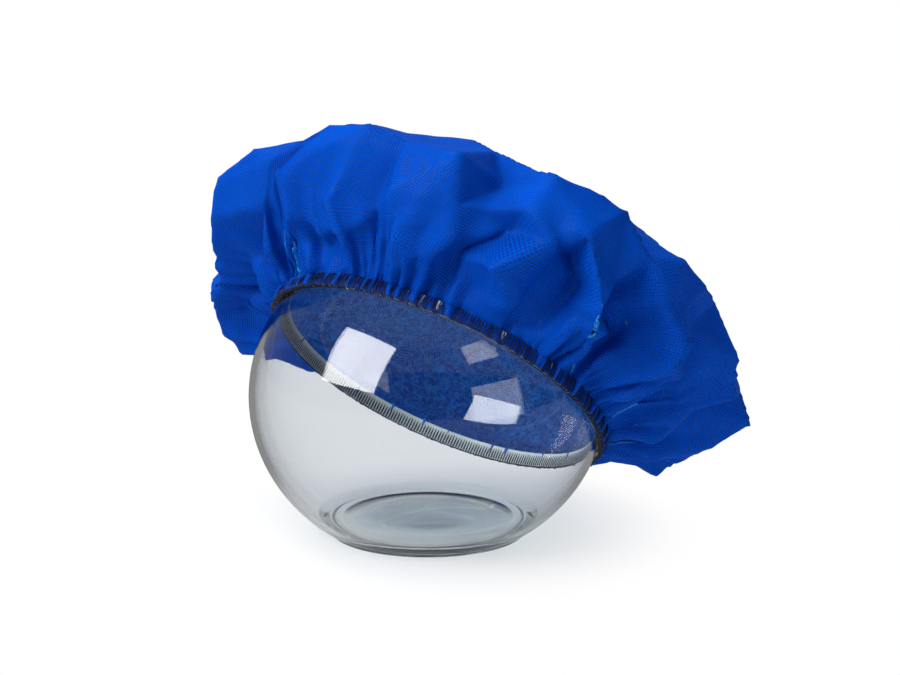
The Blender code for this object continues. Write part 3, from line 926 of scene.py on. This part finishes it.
class HAIRNET_OT_elastic(bpy.types.Operator):
    """Lays the white elastic round the bowl"""
    bl_idname = "hairnet.make_elastic"
    bl_label = "Elastic"

    def execute(self, context):
        scene = context.scene
        hem, stand = scene.hairnet_hem, scene.glass_stand
        half, corner, segments = hem.elastic_width / 2, 0.25 * MM, 720
        section = []
        for cx, cy, turn in ((1, 1, 0), (0, 1, 1), (0, 0, 2), (1, 0, 3)):
            for k in range(3):
                a = math.pi / 2 * (turn + k / 2)
                out = corner + cx * (hem.elastic_thickness - 2 * corner) + corner * math.cos(a)
                rise = -half + corner + cy * (2 * half - 2 * corner) + corner * math.sin(a)
                section.append((out, rise))
        angles = np.arange(segments) * math.tau / segments
        grid = bmesh.new()
        layer = grid.loops.layers.uv.new("along_band")
        columns = []
        for out, rise in section:
            rises = np.full(segments, rise)
            reach = seat_reach(stand, angles, rises, hem.seat_gap) + out
            columns.append([grid.verts.new(p) for p in cap_points(stand, angles, reach, rises)])
        for i in range(segments):
            j = (i + 1) % segments
            for k in range(len(section)):
                n = (k + 1) % len(section)
                face = grid.faces.new((columns[k][i], columns[k][j], columns[n][j], columns[n][i]))
                girth = stand.width / 2 * math.tau / segments
                for loop, (x, y) in zip(face.loops, ((i, k), (i + 1, k), (i + 1, n), (i, n))):
                    loop[layer].uv = (x * girth, section[y][1])
        bmesh.ops.recalc_face_normals(grid, faces=grid.faces)
        finish_piece("white_elastic", grid, elastic_material(hem), "elastic_band")
        return {"FINISHED"}


class HAIRNET_OT_overlock(bpy.types.Operator):
    """Sews the black overlock loops round the elastic and the cloth's gathered edge"""
    bl_idname = "hairnet.make_overlock"
    bl_label = "Overlock thread"

    def execute(self, context):
        scene = context.scene
        hem, stand = scene.hairnet_hem, scene.glass_stand
        half, thick = hem.elastic_width / 2, hem.elastic_thickness
        inner, outer = -0.12 * MM, thick + 2.5 * MM
        # Corners of one stitch: share of its pitch, reach from the elastic's seat, and rise. The looper
        # thread runs down and up on both faces, from the needle line to round the hem's edge
        stitch = (
            (0.02, inner, 0.55 * half), (0.10, inner - 0.06 * MM, 0.0), (0.17, inner, -0.9 * half),
            (0.21, 0.4 * MM, -half - 0.3 * MM), (0.25, thick + 1.0 * MM, -half - 0.3 * MM),
            (0.32, outer, -0.75 * half), (0.39, outer + 0.25 * MM, 0.1 * half), (0.45, outer, 0.80 * half),
            (0.50, outer - 0.7 * MM, 1.05 * half), (0.54, outer, 0.75 * half), (0.59, outer + 0.2 * MM, 0.0),
            (0.64, outer - 0.2 * MM, -0.8 * half), (0.72, thick + 1.0 * MM, -half - 0.3 * MM),
            (0.80, 0.4 * MM, -half - 0.3 * MM), (0.84, inner, -0.9 * half), (0.91, inner - 0.06 * MM, 0.0),
        )
        rng = np.random.default_rng(STITCH_SEED)
        rows = []
        for i in range(hem.stitches):
            slip, swell, shift = UNEVENNESS * rng.normal(0, 1, 3)
            for share, out, rise in stitch:
                turn = i + share + (slip if rise > 0 else 0.0)
                outwards = out + (swell if out > thick else 0.0)
                rows.append((turn * math.tau / hem.stitches, outwards, rise + shift))
        angle, out, rise = np.array(rows).T
        reach = seat_reach(stand, angle, rise, hem.seat_gap) + out
        path = cap_points(stand, angle, reach, rise)
        grid = bmesh.new()
        closed_tube(grid, path, hem.thread / 2, sides=5)
        bmesh.ops.recalc_face_normals(grid, faces=grid.faces)
        finish_piece("overlock_thread", grid, thread_material(hem), "elastic_band")
        return {"FINISHED"}


# Floor, lights and camera

def softbox(name, place, aim, size, power):
    """A white lamp at place, facing aim, with its width and height in metres and its power in watts."""
    light = bpy.data.lights.new(name, "AREA")
    light.shape = "RECTANGLE"
    light.size, light.size_y = size
    light.energy = power
    lamp = bpy.data.objects.new(name, light)
    bpy.context.scene.collection.objects.link(lamp)
    lamp.location = place
    lamp.rotation_mode = "QUATERNION"
    lamp.rotation_quaternion = (Vector(aim) - Vector(place)).to_track_quat("-Z", "Y")
    return lamp


class HAIRNET_OT_stage(bpy.types.Operator):
    """Sets the pale floor, the softboxes and the camera"""
    bl_idname = "hairnet.make_stage"
    bl_label = "Studio stage"

    def execute(self, context):
        scene = context.scene
        stage = scene.studio_stage
        grid = bmesh.new()
        bmesh.ops.create_grid(grid, x_segments=2, y_segments=2, size=6.0)
        mesh = bpy.data.meshes.new("paper_floor")
        grid.to_mesh(mesh)
        grid.free()
        mesh.materials.append(paper_material("white_paper", stage.floor_colour))
        floor = bpy.data.objects.new("paper_floor", mesh)
        scene.collection.objects.link(floor)

        world = bpy.data.worlds.new("studio_air")
        scene.world = world
        scene.view_settings.view_transform = "Standard"
        world.use_nodes = True
        tree = world.node_tree
        air = tree.nodes["Background"]
        air.inputs["Color"].default_value = linear("#FFFFFF")
        # White to the eye. As a light, and in the glass, it is bright behind the bowl and dim on the
        # camera's side
        path = add(tree, "ShaderNodeLightPath")
        aside = add(tree, "ShaderNodeSeparateXYZ", inputs={
            0: add(tree, "ShaderNodeTexCoord").outputs["Generated"]}).outputs["Y"]
        room = add(tree, "ShaderNodeMapRange", inputs={"Value": aside, "From Min": 0.1, "From Max": 0.9,
                                                       "To Min": 0.14, "To Max": 0.75}).outputs["Result"]
        dimmed = add(tree, "ShaderNodeMath", {"operation": "MULTIPLY"}, {
            0: room, 1: dim_in_reflections(tree)})
        strength = add(tree, "ShaderNodeMath", {"operation": "MAXIMUM"}, {
            0: path.outputs["Is Camera Ray"], 1: dimmed.outputs[0]})
        tree.links.new(strength.outputs[0], air.inputs["Strength"])

        middle = (0, 0, 0.10)
        softbox("left_softbox", (-0.95, -0.72, 0.85), middle, (0.96, 0.86), 23.5)
        softbox("right_softbox", (1.15, -1.15, 0.18), middle, (0.95, 1.0), 5)
        softbox("small_window", (0.77, -0.82, 1.09), middle, (0.55, 0.32), 1.3)
        top = softbox("top_softbox", (-0.30, 0.25, 1.30), middle, (1.1, 1.1), 19)
        # The glass neither mirrors this lamp nor shows it through itself
        top.visible_glossy = False
        top.visible_transmission = False

        back = Vector((0, -math.cos(stage.elevation), math.sin(stage.elevation)))
        right = Vector((1, 0, 0))
        up = back.cross(right)
        target = Vector((0, 0, scene.glass_stand.belly_height))
        target += (PICTURE_RIGHT * right + PICTURE_UP * up) * stage.pixel
        camera = bpy.data.cameras.new("camera")
        view = bpy.data.objects.new("camera", camera)
        scene.collection.objects.link(view)
        scene.camera = view
        view.location = target + stage.distance * back
        view.rotation_mode = "QUATERNION"
        view.rotation_quaternion = (-back).to_track_quat("-Z", "Y")
        camera.sensor_width = 36
        camera.lens = camera.sensor_width * stage.distance / (PICTURE_WIDTH * stage.pixel)
        camera.clip_start = 0.05
        return {"FINISHED"}


class HAIRNET_PT_panel(bpy.types.Panel):
    """Sizes and colours of the hairnet and its stand"""
    bl_idname = "HAIRNET_PT_panel"
    bl_label = "Hairnet"
    bl_space_type = "VIEW_3D"
    bl_region_type = "UI"
    bl_category = "Hairnet"

    def draw(self, context):
        for group, operators in LISTED:
            box = self.layout.box()
            settings = getattr(context.scene, group)
            for name in settings.bl_rna.properties.keys():
                if name not in {"rna_type", "name"}:
                    box.prop(settings, name)
            for operator in operators:
                box.operator(operator)


LISTED = (
    ("glass_stand", ("hairnet.make_bowl",)),
    ("hairnet_cloth", ("hairnet.make_crown",)),
    ("hairnet_hem", ("hairnet.make_elastic", "hairnet.make_overlock")),
    ("studio_stage", ("hairnet.make_stage",)),
)
GROUPS = {
    "hairnet_cloth": HairnetCloth,
    "hairnet_hem": HairnetHem,
    "glass_stand": GlassStand,
    "studio_stage": StudioStage,
}
CLASSES = (
    *GROUPS.values(),
    HAIRNET_OT_bowl,
    HAIRNET_OT_crown,
    HAIRNET_OT_elastic,
    HAIRNET_OT_overlock,
    HAIRNET_OT_stage,
    HAIRNET_PT_panel,
)


def register():
    for made in CLASSES:
        bpy.utils.register_class(made)
    for name, group in GROUPS.items():
        setattr(bpy.types.Scene, name, PointerProperty(type=group))


def unregister():
    for name in GROUPS:
        delattr(bpy.types.Scene, name)
    for made in reversed(CLASSES):
        bpy.utils.unregister_class(made)


def main():
    register()
    bpy.ops.hairnet.make_bowl()
    bpy.ops.hairnet.make_crown()
    bpy.ops.hairnet.make_elastic()
    bpy.ops.hairnet.make_overlock()
    bpy.ops.hairnet.make_stage()


if __name__ == "__main__":
    main()
